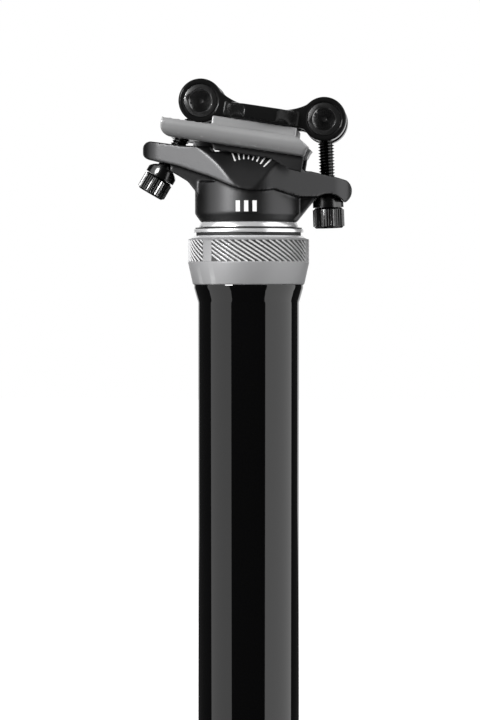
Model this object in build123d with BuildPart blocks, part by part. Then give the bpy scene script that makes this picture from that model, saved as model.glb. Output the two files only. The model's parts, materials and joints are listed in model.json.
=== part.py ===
"""Height-adjustable bicycle seatpost with a two-bolt saddle clamp.

An outer tube is held in the bicycle's seat tube. An inner tube with the saddle head slides in it
on a sealed gas and oil cartridge, which a cable lever at the base lets go. The saddle's two rails
lie in a cradle that rocks on the head and is held by two upper clamps, two barrel nuts and two bolts.

Millimetres. +Z runs up the post, +X points to the front of the bicycle, and the origin is on the
post's axis where the straight part of the outer tube ends.
"""

import os
from math import cos, radians, sin, sqrt

from build123d import *

os.makedirs("parts", exist_ok=True)

# Fits
slide_fit = 0.05          # radial clearance of parts that run in each other
seat_fit = 0.03           # radial clearance of parts that are pressed, screwed or bonded
rest_gap = 0.2            # height between the head's ring and the pad that it comes down on

# Tubes: radii follow from the shank and the walls
shank_radius = 15.8
outer_wall = 1.6
bushing_wall = 0.7
inner_wall = 1.5
cartridge_gap = 1.0
cartridge_wall = 1.4
rod_radius = 4.0
travel = 125.0

outer_bore = shank_radius - outer_wall
inner_radius = outer_bore - bushing_wall
inner_bore = inner_radius - inner_wall
cartridge_radius = inner_bore - cartridge_gap
cartridge_bore = cartridge_radius - cartridge_wall

# Top of the outer tube and its collar
shank_top = 0.6
flare_height = 4.9
flare_rise = 1.3
shoulder_height = 5.7
thread_depth = 0.8
tube_top = 18.4
bushing_length = 28.0
bushing_top = 14.0
bushing_seat_wall = 1.0
collar_bottom = 5.9
collar_taper_top = 12.9
collar_top = 20.1
collar_rise = 1.7
collar_band_rise = 3.15
collar_chamfer_top = 21.3
collar_chamfer_rise = 1.1
collar_lip = 0.9
seal_flange_top = 22.2
seal_flange_rise = 0.8
wiper_ring_top = 23.4
wiper_ring_rise = 1.4
pad_top = 23.8
pad_rise = 1.1

# Pieces at the foot of the inner tube, stacked down from the upper bushing
stop_gap = 0.3
bumper_height = 1.2
stack_gap = 1.2
key_count = 3
key_radius = 1.0
key_length = 10.0
lower_bushing_length = 12.0
tube_foot_margin = 1.0

upper_bushing_bottom = bushing_top - bushing_length
bumper_top = upper_bushing_bottom - travel - stop_gap
bumper_bottom = bumper_top - bumper_height
key_top = bumper_bottom - stack_gap
key_bottom = key_top - key_length
lower_bushing_top = key_bottom - stack_gap
lower_bushing_bottom = lower_bushing_top - lower_bushing_length
inner_bottom = lower_bushing_bottom - tube_foot_margin

# Base housing and release lever
base_clearance = 22.0
spigot_length = 12.0
housing_radius = shank_radius - 0.3
housing_roof = 4.0
housing_length = 36.0
cavity_height = 21.0
cavity_half_width = 6.0
cavity_back = 9.0
stud_radius = 5.0
valve_radius = 1.5
lever_half_width = 4.0
lever_pin_radius = 1.5
lever_pin_x = 4.0
lever_pin_drop = 11.0
cable_x = 10.8
anchor_radius = 2.2
lever_end_radius = 3.8
toe_radius = 1.8
cable_hole_radius = 0.9
housing_bore_radius = 2.6
housing_bore_length = 7.0
o_ring_groove_depth = 1.8

spigot_top = inner_bottom - base_clearance
shank_bottom = spigot_top - spigot_length
cavity_top = shank_bottom - housing_roof
cavity_bottom = cavity_top - cavity_height
housing_bottom = shank_bottom - housing_length
lever_z = cavity_top - lever_pin_drop

# Cartridge, stacked up from the spigot
foot_flange = 2.0
foot_plug = 10.0
gas_height = 6.0
floater_height = 8.0
oil_height = 8.0
piston_height = 10.0
top_gap = 9.0
gland_height = 12.0
cup_depth = 4.0

cartridge_bottom = spigot_top + foot_flange
foot_top = cartridge_bottom + foot_plug
floater_bottom = foot_top + gas_height
floater_top = floater_bottom + floater_height
piston_bottom = floater_top + oil_height
piston_top = piston_bottom + piston_height
gland_bottom = piston_top + travel + top_gap
cartridge_top = gland_bottom + gland_height

# Head
ring_bottom = pad_top + rest_gap
head_bottom = 25.5
neck_radius = 16.8
neck_bottom_radius = 14.95
neck_chamfer_top = 28.1
neck_top = 38.0
socket_depth = 7.5
rod_hole_depth = 3.5
body_half_width = 18.2
roof_half_width = 11.0
roof_top = 52.0
rib_half_width = 7.0
tip_radius = 8.6
rear_tip_x = -24.6
front_tip_x = 23.8

# Rocker and rail cradle, in the rails' own frame: u along the rails, v square to them
tilt_x = -0.4
tilt_z = 36.7
rail_slope = 8.6
rocker_radius = 12.4
rocker_half_angle = 40.0
rail_radius = 3.5
rail_spacing = 44.0
rail_v = 17.9
cradle_rear = -28.1
cradle_front = 18.2
cradle_front_top = 14.1
wall_bottom = 11.4
wall_top = 17.0
wall_outer = 26.0
cheek_inner = 16.6
cheek_outer = 18.4
bridge_rear = -13.1
bridge_front = 13.4
bridge_bottom = 10.6
bridge_top = 19.85
skirt_inner = 17.5
skirt_bottom = 9.3
skirt_nose = 6.4
skirt_rear = -12.5
skirt_front = 16.8

# Upper clamps and barrel nuts
eye_v = 23.9
rear_eye_u = -17.6
front_eye_u = 21.1
eye_radius = 6.9
eye_inner = 6.5
eye_outer = 16.2
jaw_outer = 24.8
jaw_flare = 7.0
clamp_bottom = 20.0
clamp_top = 26.1
barrel_radius = 5.05
barrel_half_length = 15.8
barrel_cone_radius = 3.6
barrel_cone_depth = 3.4
thread_clearance = 0.2

# Bolts and their rounded washers
bolt_radius = 2.5
bolt_reach = 4.6
washer_radius = 4.8
washer_height = 4.0
seat_radius = 6.0
bolt_slot_radius = 3.0
bolt_slot_half = 1.3
hex_key_radius = 2.3
rear_lean = 30.4
rear_swivel = 29.15
rear_head_radius = 4.65
rear_head_height = 5.8
front_lean = -2.0
front_swivel = 29.1
front_head_radius = 4.85
front_head_height = 6.4
bolt_head_chamfer = 0.4

# The rails' frame: local x runs along the rails to the front, local y is square to them
rail_x = cos(radians(rail_slope))
rail_z = sin(radians(rail_slope))
rail_plane = Plane(origin=(tilt_x, 0, tilt_z), x_dir=(rail_x, 0, -rail_z), z_dir=(0, -1, 0))


def rail_section(u):
    """Plane across the rails at u: local x is the post's Y, local y is v."""
    origin = rail_plane.from_local_coords(Vector(u, 0, 0))
    return Plane(origin=origin, x_dir=(0, 1, 0), z_dir=(rail_x, 0, -rail_z))


def bolt_plane(eye_u, lean, swivel):
    """Plane square to a bolt through its washer's swivel centre, with +Z up the bolt."""
    eye = rail_plane.from_local_coords(Vector(eye_u, eye_v, 0))
    along = Vector(sin(radians(lean)), 0, cos(radians(lean)))
    return Plane(origin=eye - along * swivel, x_dir=(along.Z, 0, -along.X), z_dir=along)


# Plane under the jaws: local x runs along the rails, local y is the post's Y
jaw_plane = Plane(origin=rail_plane.from_local_coords(Vector(0, clamp_bottom, 0)),
                  x_dir=(rail_x, 0, -rail_z), z_dir=(rail_z, 0, rail_x))
rear_bolt_plane = bolt_plane(rear_eye_u, rear_lean, rear_swivel)
front_bolt_plane = bolt_plane(front_eye_u, front_lean, front_swivel)

# ---------------------------------------------------------------- outer tube
# Aluminium tube, flared and threaded at the top, with three keyways along its bore.
with BuildPart() as outer_tube:
    with BuildSketch(Plane.XZ):
        with BuildLine():
            flare_mid = (shank_radius + flare_rise * 0.58, (shank_top + flare_height) / 2)
            Line((outer_bore, shank_bottom), (shank_radius, shank_bottom))
            Line((shank_radius, shank_bottom), (shank_radius, shank_top))
            ThreePointArc((shank_radius, shank_top), flare_mid,
                          (shank_radius + flare_rise, flare_height))
            Polyline((shank_radius + flare_rise, flare_height),
                     (shank_radius + flare_rise, shoulder_height),
                     (shank_radius + flare_rise - thread_depth, shoulder_height),
                     (shank_radius + flare_rise - thread_depth, tube_top),
                     (shank_radius - bushing_seat_wall, tube_top),
                     (shank_radius - bushing_seat_wall, upper_bushing_bottom),
                     (outer_bore, upper_bushing_bottom),
                     (outer_bore, shank_bottom))
        make_face()
    revolve(axis=Axis.Z)
    with BuildSketch(Plane.XY.offset(spigot_top)):
        with PolarLocations(outer_bore, key_count):
            Circle(key_radius + slide_fit)
    extrude(amount=upper_bushing_bottom - spigot_top, mode=Mode.SUBTRACT)
outer_tube.part.label = "outer_tube"
export_step(outer_tube.part, "parts/outer_tube.step")

# ---------------------------------------------------------------- upper bushing
with BuildPart() as upper_bushing:
    with BuildSketch(Plane.XY.offset(upper_bushing_bottom)):
        Circle(shank_radius - bushing_seat_wall - seat_fit)
        Circle(inner_radius + slide_fit, mode=Mode.SUBTRACT)
    extrude(amount=bushing_length)
upper_bushing.part.label = "upper_bushing"
export_step(upper_bushing.part, "parts/upper_bushing.step")

# ---------------------------------------------------------------- seal collar
# Screwed over the tube's thread; its top is a bright machined chamfer.
thread_radius = shank_radius + flare_rise - thread_depth
collar_face = shank_radius + collar_band_rise
with BuildPart() as seal_collar:
    with BuildSketch(Plane.XZ):
        with BuildLine():
            Polyline((thread_radius + seat_fit, collar_bottom),
                     (shank_radius + collar_rise - 0.3, collar_bottom),
                     (shank_radius + collar_rise, collar_bottom + 0.3),
                     (collar_face, collar_taper_top),
                     (collar_face, collar_top),
                     (collar_face - 0.9, collar_top + 0.3),
                     (shank_radius + collar_chamfer_rise, collar_chamfer_top),
                     (inner_radius + collar_lip, collar_chamfer_top),
                     (inner_radius + collar_lip, tube_top + 0.8),
                     (thread_radius + seat_fit, tube_top + 0.8),
                     close=True)
        make_face()
    revolve(axis=Axis.Z)
seal_collar.part.label = "seal_collar"
export_step(seal_collar.part, "parts/seal_collar.step")

# ---------------------------------------------------------------- collar O-ring
with BuildPart() as collar_o_ring:
    with BuildSketch(Plane.XZ):
        with Locations((shank_radius - 0.2, tube_top + 0.4)):
            Circle(0.38)
    revolve(axis=Axis.Z)
collar_o_ring.part.label = "collar_o_ring"
export_step(collar_o_ring.part, "parts/collar_o_ring.step")

# ---------------------------------------------------------------- wiper seal
# Rubber seal in the collar, with a flange that shows above it and a dust pad on top.
with BuildPart() as wiper_seal:
    with BuildSketch(Plane.XZ):
        with BuildLine():
            Polyline((inner_radius + slide_fit, bushing_top + 2.0),
                     (inner_radius + collar_lip - seat_fit, bushing_top + 2.0),
                     (inner_radius + collar_lip - seat_fit, collar_chamfer_top),
                     (shank_radius + seal_flange_rise, collar_chamfer_top),
                     (shank_radius + seal_flange_rise, seal_flange_top),
                     (inner_radius + slide_fit, seal_flange_top),
                     close=True)
        make_face()
    revolve(axis=Axis.Z)
wiper_seal.part.label = "wiper_seal"
export_step(wiper_seal.part, "parts/wiper_seal.step")

# ---------------------------------------------------------------- wiper ring
with BuildPart() as wiper_ring:
    with BuildSketch(Plane.XY.offset(seal_flange_top)):
        Circle(shank_radius + wiper_ring_rise)
        Circle(inner_radius + 0.4, mode=Mode.SUBTRACT)
    extrude(amount=wiper_ring_top - seal_flange_top)
    fillet(wiper_ring.edges().filter_by(GeomType.CIRCLE).group_by(SortBy.RADIUS)[-1], 0.25)
wiper_ring.part.label = "wiper_ring"
export_step(wiper_ring.part, "parts/wiper_ring.step")

# ---------------------------------------------------------------- rest pad
# Thin rubber ring that the head comes down on when the post is fully lowered.
with BuildPart() as rest_pad:
    with BuildSketch(Plane.XY.offset(wiper_ring_top)):
        Circle(shank_radius + pad_rise)
        Circle(inner_radius + 0.3, mode=Mode.SUBTRACT)
    extrude(amount=pad_top - wiper_ring_top)
rest_pad.part.label = "rest_pad"
export_step(rest_pad.part, "parts/rest_pad.step")

# ---------------------------------------------------------------- inner tube
# Slides in the bushings; its foot carries a bushing, three keys and a bumper.
inner_top = head_bottom + socket_depth
with BuildPart() as inner_tube:
    with BuildSketch(Plane.XY.offset(inner_bottom)):
        Circle(inner_radius)
        Circle(inner_bore, mode=Mode.SUBTRACT)
    extrude(amount=inner_top - inner_bottom)
    with BuildSketch(Plane.XY.offset(key_bottom)):
        with PolarLocations(outer_bore - key_radius / 2, key_count):
            Circle(key_radius + seat_fit)
    extrude(amount=key_length, mode=Mode.SUBTRACT)
inner_tube.part.label = "inner_tube"
export_step(inner_tube.part, "parts/inner_tube.step")

# ---------------------------------------------------------------- lower bushing
with BuildPart() as lower_bushing:
    with BuildSketch(Plane.XY.offset(lower_bushing_bottom)):
        Circle(outer_bore - slide_fit)
        Circle(inner_radius + seat_fit, mode=Mode.SUBTRACT)
    extrude(amount=lower_bushing_length)
lower_bushing.part.label = "lower_bushing"
export_step(lower_bushing.part, "parts/lower_bushing.step")

# ---------------------------------------------------------------- key pins
# Brass pins, half in the inner tube and half in the outer tube's keyways.
with BuildPart() as key_pins:
    with BuildSketch(Plane.XY.offset(key_bottom)):
        with PolarLocations(outer_bore - key_radius / 2, key_count):
            Circle(key_radius)
    extrude(amount=key_length)
key_pins.part.label = "key_pins"
export_step(key_pins.part, "parts/key_pins.step")

# ---------------------------------------------------------------- top-out bumper
with BuildPart() as top_out_bumper:
    with BuildSketch(Plane.XY.offset(bumper_bottom)):
        Circle(outer_bore - slide_fit)
        Circle(inner_radius + seat_fit, mode=Mode.SUBTRACT)
    extrude(amount=bumper_height)
top_out_bumper.part.label = "top_out_bumper"
export_step(top_out_bumper.part, "parts/top_out_bumper.step")

# ---------------------------------------------------------------- head ring
with BuildPart() as head_ring:
    with BuildSketch(Plane.XZ):
        with BuildLine():
            Polyline((inner_radius + seat_fit, ring_bottom),
                     (neck_bottom_radius + 0.65, ring_bottom),
                     (neck_bottom_radius + 0.05, head_bottom),
                     (inner_radius + seat_fit, head_bottom),
                     close=True)
        make_face()
    revolve(axis=Axis.Z)
head_ring.part.label = "head_ring"
export_step(head_ring.part, "parts/head_ring.step")

# ---------------------------------------------------------------- head
# Forged head: a neck bonded on the inner tube, a rocker for the cradle, two arms for the bolts
# and wings that flare out from the arms along both sides.
rocker_reach = rocker_radius * sin(radians(rocker_half_angle))
rocker_shoulder = rocker_radius * cos(radians(rocker_half_angle))
rocker_rear = rail_plane.from_local_coords(Vector(-rocker_reach, rocker_shoulder, 0))
rocker_crown = rail_plane.from_local_coords(Vector(0, rocker_radius, 0))
rocker_front = rail_plane.from_local_coords(Vector(rocker_reach, rocker_shoulder, 0))
head_top = [(-30.3, 50.7), (-20.8, 49.3), (-11.4, 48.8), (-11.1, 47.2), (rocker_rear.X, rocker_rear.Z)]
front_top = [(rocker_front.X, rocker_front.Z), (14.6, 42.0), (16.7, 42.3)]
with BuildPart() as head:
    with BuildSketch(Plane.XZ):
        with BuildLine():
            Polyline(*head_top)
            ThreePointArc(head_top[-1], (rocker_crown.X, rocker_crown.Z), front_top[0])
            Polyline(*front_top)
            ThreePointArc(front_top[-1], (17.5, 41.6), (19.6, 41.2))
            Polyline((19.6, 41.2), (27.7, 39.4), (30.8, 38.5))
            ThreePointArc((30.8, 38.5), (32.4, 35.6), (29.8, 31.6))
            Polyline((29.8, 31.6), (21.4, 33.3), (16.1, 33.2), (12.3, 34.3), (8.5, 35.6))
            Spline((8.5, 35.6), (2.6, 35.1), (-2.9, 35.9), (-8.7, 38.2), (-14.3, 40.3))
            Polyline((-14.3, 40.3), (-21.9, 42.9), (-30.6, 45.0))
            ThreePointArc((-30.6, 45.0), (-33.4, 47.6), (-30.3, 50.7))
        make_face()
    extrude(amount=body_half_width, both=True)
    with BuildSketch(Plane.XY.offset(tilt_z - 12)):
        Circle(body_half_width)
        for tip_x in (rear_tip_x, front_tip_x):
            along = (body_half_width - tip_radius) / tip_x
            across = sqrt(1 - along ** 2)
            with Locations((tip_x, 0)):
                Circle(tip_radius)
            with BuildLine():
                Polyline((along * body_half_width, across * body_half_width),
                         (tip_x + along * tip_radius, across * tip_radius),
                         (tip_x + along * tip_radius, -across * tip_radius),
                         (along * body_half_width, -across * body_half_width),
                         close=True)
            make_face()
    extrude(amount=30, mode=Mode.INTERSECT)
    with BuildSketch(Plane.YZ):
        with BuildLine():
            Polyline((-roof_half_width, roof_top), (roof_half_width, roof_top))
            ThreePointArc((roof_half_width, roof_top), (15.4, 44.6), (body_half_width, 35.0))
            Polyline((body_half_width, 35.0), (body_half_width, 25.0), (-body_half_width, 25.0),
                     (-body_half_width, 35.0))
            ThreePointArc((-body_half_width, 35.0), (-15.4, 44.6), (-roof_half_width, roof_top))
        make_face()
    extrude(amount=40, both=True, mode=Mode.INTERSECT)
    with BuildSketch(Plane.XZ):
        with BuildLine():
            Polyline((neck_radius - 2.0, 33.0), (16.1, 33.2), (21.4, 33.3), (20.0, 38.0),
                     (-24.0, 44.0), (-24.3, 41.4), (-21.8, 40.0), (-18.7, 38.1), (-16.6, 35.4),
                     (-neck_radius + 2.0, 33.0), close=True)
        make_face()
    extrude(amount=rib_half_width, both=True)
    with BuildSketch(Plane.XZ):
        with BuildLine():
            Polyline((0, 27.0), (neck_bottom_radius, head_bottom), (19.4, 31.0), (21.4, 33.3),
                     (0, 35.0), close=True)
        make_face()
    extrude(amount=rib_half_width - 2.0, both=True)
    with BuildSketch(Plane.XZ):
        with BuildLine():
            Polyline((0, head_bottom), (neck_bottom_radius, head_bottom),
                     (neck_radius, neck_chamfer_top), (neck_radius, neck_top), (0, neck_top),
                     close=True)
        make_face()
    revolve(axis=Axis.Z)
    # Socket for the inner tube, hole for the rod, and each bolt's slot and washer seat
    with BuildSketch(Plane.XY.offset(head_bottom)):
        Circle(inner_radius + seat_fit)
    extrude(amount=socket_depth, mode=Mode.SUBTRACT)
    with BuildSketch(Plane.XY.offset(head_bottom)):
        Circle(rod_radius + seat_fit)
    extrude(amount=socket_depth + rod_hole_depth, mode=Mode.SUBTRACT)
    for bolt_plane_here in (rear_bolt_plane, front_bolt_plane):
        with BuildSketch(bolt_plane_here):
            SlotCenterToCenter(2 * bolt_slot_half, 2 * bolt_slot_radius)
        extrude(amount=20, mode=Mode.SUBTRACT)
        swivel = bolt_plane_here.origin
        with BuildSketch(Plane.XZ):
            with Locations((swivel.X, swivel.Z)):
                Circle(seat_radius + slide_fit)
        extrude(amount=body_half_width + 1, both=True, mode=Mode.SUBTRACT)
head.part.label = "head"
export_step(head.part, "parts/head.step")

# ---------------------------------------------------------------- cartridge foot
# Plug in the cartridge's lower end; its stud goes down through the housing's roof.
stud_bottom = cavity_top - cup_depth - 0.4
with BuildPart() as cartridge_foot:
    with BuildSketch(Plane.XZ):
        with BuildLine():
            Polyline((valve_radius + slide_fit, stud_bottom), (stud_radius, stud_bottom),
                     (stud_radius, spigot_top), (cartridge_radius, spigot_top),
                     (cartridge_radius, cartridge_bottom),
                     (cartridge_bore - seat_fit, cartridge_bottom),
                     (cartridge_bore - seat_fit, foot_top),
                     (valve_radius + slide_fit, foot_top), close=True)
        make_face()
    revolve(axis=Axis.Z)
cartridge_foot.part.label = "cartridge_foot"
export_step(cartridge_foot.part, "parts/cartridge_foot.step")

# ---------------------------------------------------------------- cartridge nut
with BuildPart() as cartridge_nut:
    with BuildSketch(Plane.XY.offset(cavity_top - cup_depth)):
        RegularPolygon(stud_radius + 1.9, 6)
        Circle(stud_radius + seat_fit, mode=Mode.SUBTRACT)
    extrude(amount=cup_depth)
cartridge_nut.part.label = "cartridge_nut"
export_step(cartridge_nut.part, "parts/cartridge_nut.step")

# ---------------------------------------------------------------- cartridge tube
with BuildPart() as cartridge_tube:
    with BuildSketch(Plane.XY.offset(cartridge_bottom)):
        Circle(cartridge_radius)
        Circle(cartridge_bore, mode=Mode.SUBTRACT)
    extrude(amount=cartridge_top - cartridge_bottom)
cartridge_tube.part.label = "cartridge_tube"
export_step(cartridge_tube.part, "parts/cartridge_tube.step")

# ---------------------------------------------------------------- gland and its seal
gland_seal_z = gland_bottom + gland_height / 2
with BuildPart() as cartridge_gland:
    with BuildSketch(Plane.XZ):
        with BuildLine():
            Polyline((rod_radius + slide_fit, gland_bottom),
                     (cartridge_bore - seat_fit, gland_bottom),
                     (cartridge_bore - seat_fit, cartridge_top),
                     (rod_radius + slide_fit, cartridge_top),
                     (rod_radius + slide_fit, gland_seal_z + 1.0),
                     (rod_radius + 1.8, gland_seal_z + 1.0),
                     (rod_radius + 1.8, gland_seal_z - 1.0),
                     (rod_radius + slide_fit, gland_seal_z - 1.0), close=True)
        make_face()
    revolve(axis=Axis.Z)
cartridge_gland.part.label = "cartridge_gland"
export_step(cartridge_gland.part, "parts/cartridge_gland.step")

with BuildPart() as gland_seal:
    with BuildSketch(Plane.XY.offset(gland_seal_z - 0.9)):
        Circle(rod_radius + 1.7)
        Circle(rod_radius + slide_fit, mode=Mode.SUBTRACT)
    extrude(amount=1.8)
gland_seal.part.label = "gland_seal"
export_step(gland_seal.part, "parts/gland_seal.step")

# ---------------------------------------------------------------- cartridge rod
# Ground steel rod from the piston up into the head.
with BuildPart() as cartridge_rod:
    with BuildSketch(Plane.XY.offset(piston_bottom)):
        Circle(rod_radius)
    extrude(amount=inner_top + rod_hole_depth - 0.3 - piston_bottom)
cartridge_rod.part.label = "cartridge_rod"
export_step(cartridge_rod.part, "parts/cartridge_rod.step")

# ---------------------------------------------------------------- rod piston and its seal
piston_groove_z = (piston_bottom + piston_top) / 2
with BuildPart() as rod_piston:
    with BuildSketch(Plane.XZ):
        with BuildLine():
            Polyline((rod_radius + seat_fit, piston_bottom),
                     (cartridge_bore - slide_fit, piston_bottom),
                     (cartridge_bore - slide_fit, piston_groove_z - 1.2),
                     (cartridge_bore - 1.8, piston_groove_z - 1.2),
                     (cartridge_bore - 1.8, piston_groove_z + 1.2),
                     (cartridge_bore - slide_fit, piston_groove_z + 1.2),
                     (cartridge_bore - slide_fit, piston_top),
                     (rod_radius + seat_fit, piston_top), close=True)
        make_face()
    revolve(axis=Axis.Z)
rod_piston.part.label = "rod_piston"
export_step(rod_piston.part, "parts/rod_piston.step")

with BuildPart() as piston_seal:
    with BuildSketch(Plane.XY.offset(piston_groove_z - 1.1)):
        Circle(cartridge_bore - slide_fit)
        Circle(cartridge_bore - 1.7, mode=Mode.SUBTRACT)
    extrude(amount=2.2)
piston_seal.part.label = "piston_seal"
export_step(piston_seal.part, "parts/piston_seal.step")

# ---------------------------------------------------------------- rod nut
# Locks the rod against the floor of the head's socket.
with BuildPart() as rod_nut:
    with BuildSketch(Plane.XY.offset(inner_top - 4.0)):
        RegularPolygon(rod_radius + 3.2, 6)
        Circle(rod_radius + seat_fit, mode=Mode.SUBTRACT)
    extrude(amount=4.0)
rod_nut.part.label = "rod_nut"
export_step(rod_nut.part, "parts/rod_nut.step")

# ---------------------------------------------------------------- floating piston
# Parts the oil from the gas; it rises as the rod leaves the cartridge.
with BuildPart() as floating_piston:
    with BuildSketch(Plane.XY.offset(floater_bottom)):
        Circle(cartridge_bore - slide_fit)
    extrude(amount=floater_height)
    with BuildSketch(Plane.XY.offset(floater_bottom)):
        Circle(cartridge_bore - 3.0)
    extrude(amount=floater_height / 2, mode=Mode.SUBTRACT)
    with BuildSketch(Plane.XY.offset(floater_top - 4.4)):
        Circle(cartridge_bore)
        Circle(cartridge_bore - 1.4, mode=Mode.SUBTRACT)
    extrude(amount=2.4, mode=Mode.SUBTRACT)
floating_piston.part.label = "floating_piston"
export_step(floating_piston.part, "parts/floating_piston.step")

with BuildPart() as floater_seal:
    with BuildSketch(Plane.XY.offset(floater_top - 4.3)):
        Circle(cartridge_bore - slide_fit)
        Circle(cartridge_bore - 1.3, mode=Mode.SUBTRACT)
    extrude(amount=2.2)
floater_seal.part.label = "floater_seal"
export_step(floater_seal.part, "parts/floater_seal.step")

# ---------------------------------------------------------------- base housing
# Screwed into the tube's foot. A pocket, open to the front, holds the release lever.
with BuildPart() as base_housing:
    with BuildSketch(Plane.XY.offset(shank_bottom)):
        Circle(outer_bore - seat_fit)
    extrude(amount=spigot_length)
    with BuildSketch(Plane.XY.offset(housing_bottom)):
        Circle(housing_radius)
    extrude(amount=shank_bottom - housing_bottom)
    chamfer(base_housing.faces().sort_by(Axis.Z)[0].edges(), 1.2)
    with BuildSketch(Plane.XY.offset(cavity_bottom)):
        with Locations(((housing_radius - cavity_back) / 2 + 1, 0)):
            RectangleRounded(housing_radius + cavity_back + 2, 2 * cavity_half_width, 3.0)
    extrude(amount=cavity_height, mode=Mode.SUBTRACT)
    with BuildSketch(Plane.XY.offset(cavity_top)):
        Circle(stud_radius + seat_fit)
    extrude(amount=spigot_top - cavity_top, mode=Mode.SUBTRACT)
    with BuildSketch(Plane.XZ):
        with Locations((lever_pin_x, lever_z)):
            Circle(lever_pin_radius + seat_fit)
    extrude(amount=housing_radius, both=True, mode=Mode.SUBTRACT)
    with BuildSketch(Plane.XY.offset(housing_bottom)):
        with Locations((cable_x, 0)):
            Circle(housing_bore_radius + 1.0 + seat_fit)
    extrude(amount=housing_bore_length + 1.5, mode=Mode.SUBTRACT)
    with BuildSketch(Plane.XY.offset(housing_bottom)):
        with Locations((cable_x, 0)):
            Circle(cable_hole_radius + 0.4)
    extrude(amount=cavity_bottom - housing_bottom, mode=Mode.SUBTRACT)
    with BuildSketch(Plane.XZ):
        with Locations((outer_bore, shank_bottom + spigot_length / 2)):
            Rectangle(2 * o_ring_groove_depth, 1.9)
    revolve(axis=Axis.Z, mode=Mode.SUBTRACT)
base_housing.part.label = "base_housing"
export_step(base_housing.part, "parts/base_housing.step")

with BuildPart() as base_o_ring:
    with BuildSketch(Plane.XZ):
        with Locations((outer_bore - o_ring_groove_depth / 2, shank_bottom + spigot_length / 2)):
            Circle(o_ring_groove_depth / 2 - seat_fit)
    revolve(axis=Axis.Z)
base_o_ring.part.label = "base_o_ring"
export_step(base_o_ring.part, "parts/base_o_ring.step")

# ---------------------------------------------------------------- housing stop
# Insert in the base that the cable's housing butts into.
with BuildPart() as housing_stop:
    with BuildSketch(Plane.XY.offset(housing_bottom)):
        with Locations((cable_x, 0)):
            Circle(housing_bore_radius + 1.0)
    extrude(amount=housing_bore_length + 1.4)
    with BuildSketch(Plane.XY.offset(housing_bottom)):
        with Locations((cable_x, 0)):
            Circle(housing_bore_radius)
    extrude(amount=housing_bore_length, mode=Mode.SUBTRACT)
    with BuildSketch(Plane.XY.offset(housing_bottom)):
        with Locations((cable_x, 0)):
            Circle(cable_hole_radius)
    extrude(amount=housing_bore_length + 1.4, mode=Mode.SUBTRACT)
housing_stop.part.label = "housing_stop"
export_step(housing_stop.part, "parts/housing_stop.step")

# ---------------------------------------------------------------- lever pin
with BuildPart() as lever_pin:
    with BuildSketch(Plane.XZ):
        with Locations((lever_pin_x, lever_z)):
            Circle(lever_pin_radius)
    extrude(amount=housing_radius - 1.4, both=True)
lever_pin.part.label = "lever_pin"
export_step(lever_pin.part, "parts/lever_pin.step")

# ---------------------------------------------------------------- release lever
# The cable pulls its front end down, and its toe pushes the valve pin up.
toe_top = stud_bottom - 1.4
with BuildPart() as release_lever:
    with BuildSketch(Plane.XZ):
        with BuildLine():
            Polyline((0, toe_top), (lever_pin_x, lever_z + 3.4), (cable_x, lever_z + lever_end_radius),
                     (cable_x, lever_z - lever_end_radius), (lever_pin_x, lever_z - 3.4),
                     (-toe_radius, toe_top - toe_radius), close=True)
        make_face()
        with Locations((0, toe_top - toe_radius)):
            Circle(toe_radius)
        with Locations((lever_pin_x, lever_z)):
            Circle(3.4)
        with Locations((cable_x, lever_z)):
            Circle(lever_end_radius)
        with Locations((lever_pin_x, lever_z)):
            Circle(lever_pin_radius + slide_fit, mode=Mode.SUBTRACT)
        with Locations((cable_x, lever_z)):
            Circle(anchor_radius + slide_fit, mode=Mode.SUBTRACT)
    extrude(amount=lever_half_width, both=True)
    with BuildSketch(Plane.XY.offset(lever_z - lever_end_radius)):
        with Locations((cable_x + lever_end_radius / 2, 0)):
            Rectangle(lever_end_radius + 2 * cable_hole_radius, 2 * cable_hole_radius)
    extrude(amount=2 * lever_end_radius, mode=Mode.SUBTRACT)
release_lever.part.label = "release_lever"
export_step(release_lever.part, "parts/release_lever.step")

# ---------------------------------------------------------------- cable anchor and its screw
with BuildPart() as cable_anchor:
    with BuildSketch(Plane.XZ):
        with Locations((cable_x, lever_z)):
            Circle(anchor_radius)
    extrude(amount=lever_half_width, both=True)
    with BuildSketch(Plane.XY.offset(lever_z - anchor_radius)):
        with Locations((cable_x, 0)):
            Circle(cable_hole_radius)
    extrude(amount=2 * anchor_radius, mode=Mode.SUBTRACT)
    with BuildSketch(Plane.XZ.offset(cable_hole_radius)):
        with Locations((cable_x, lever_z)):
            Circle(1.25 + seat_fit)
    extrude(amount=lever_half_width, mode=Mode.SUBTRACT)
cable_anchor.part.label = "cable_anchor"
export_step(cable_anchor.part, "parts/cable_anchor.step")

with BuildPart() as anchor_screw:
    with BuildSketch(Plane.XZ.offset(cable_hole_radius)):
        with Locations((cable_x, lever_z)):
            Circle(1.25)
    extrude(amount=lever_half_width - cable_hole_radius)
    with BuildSketch(Plane.XZ.offset(lever_half_width - 1.2)):
        with Locations((cable_x, lever_z)):
            RegularPolygon(0.75, 6)
    extrude(amount=1.2, mode=Mode.SUBTRACT)
anchor_screw.part.label = "anchor_screw"
export_step(anchor_screw.part, "parts/anchor_screw.step")

# ---------------------------------------------------------------- valve pin
with BuildPart() as valve_pin:
    with BuildSketch(Plane.XY.offset(toe_top + 0.1)):
        Circle(valve_radius)
    extrude(amount=foot_top - 1.0 - toe_top)
valve_pin.part.label = "valve_pin"
export_step(valve_pin.part, "parts/valve_pin.step")

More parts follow.
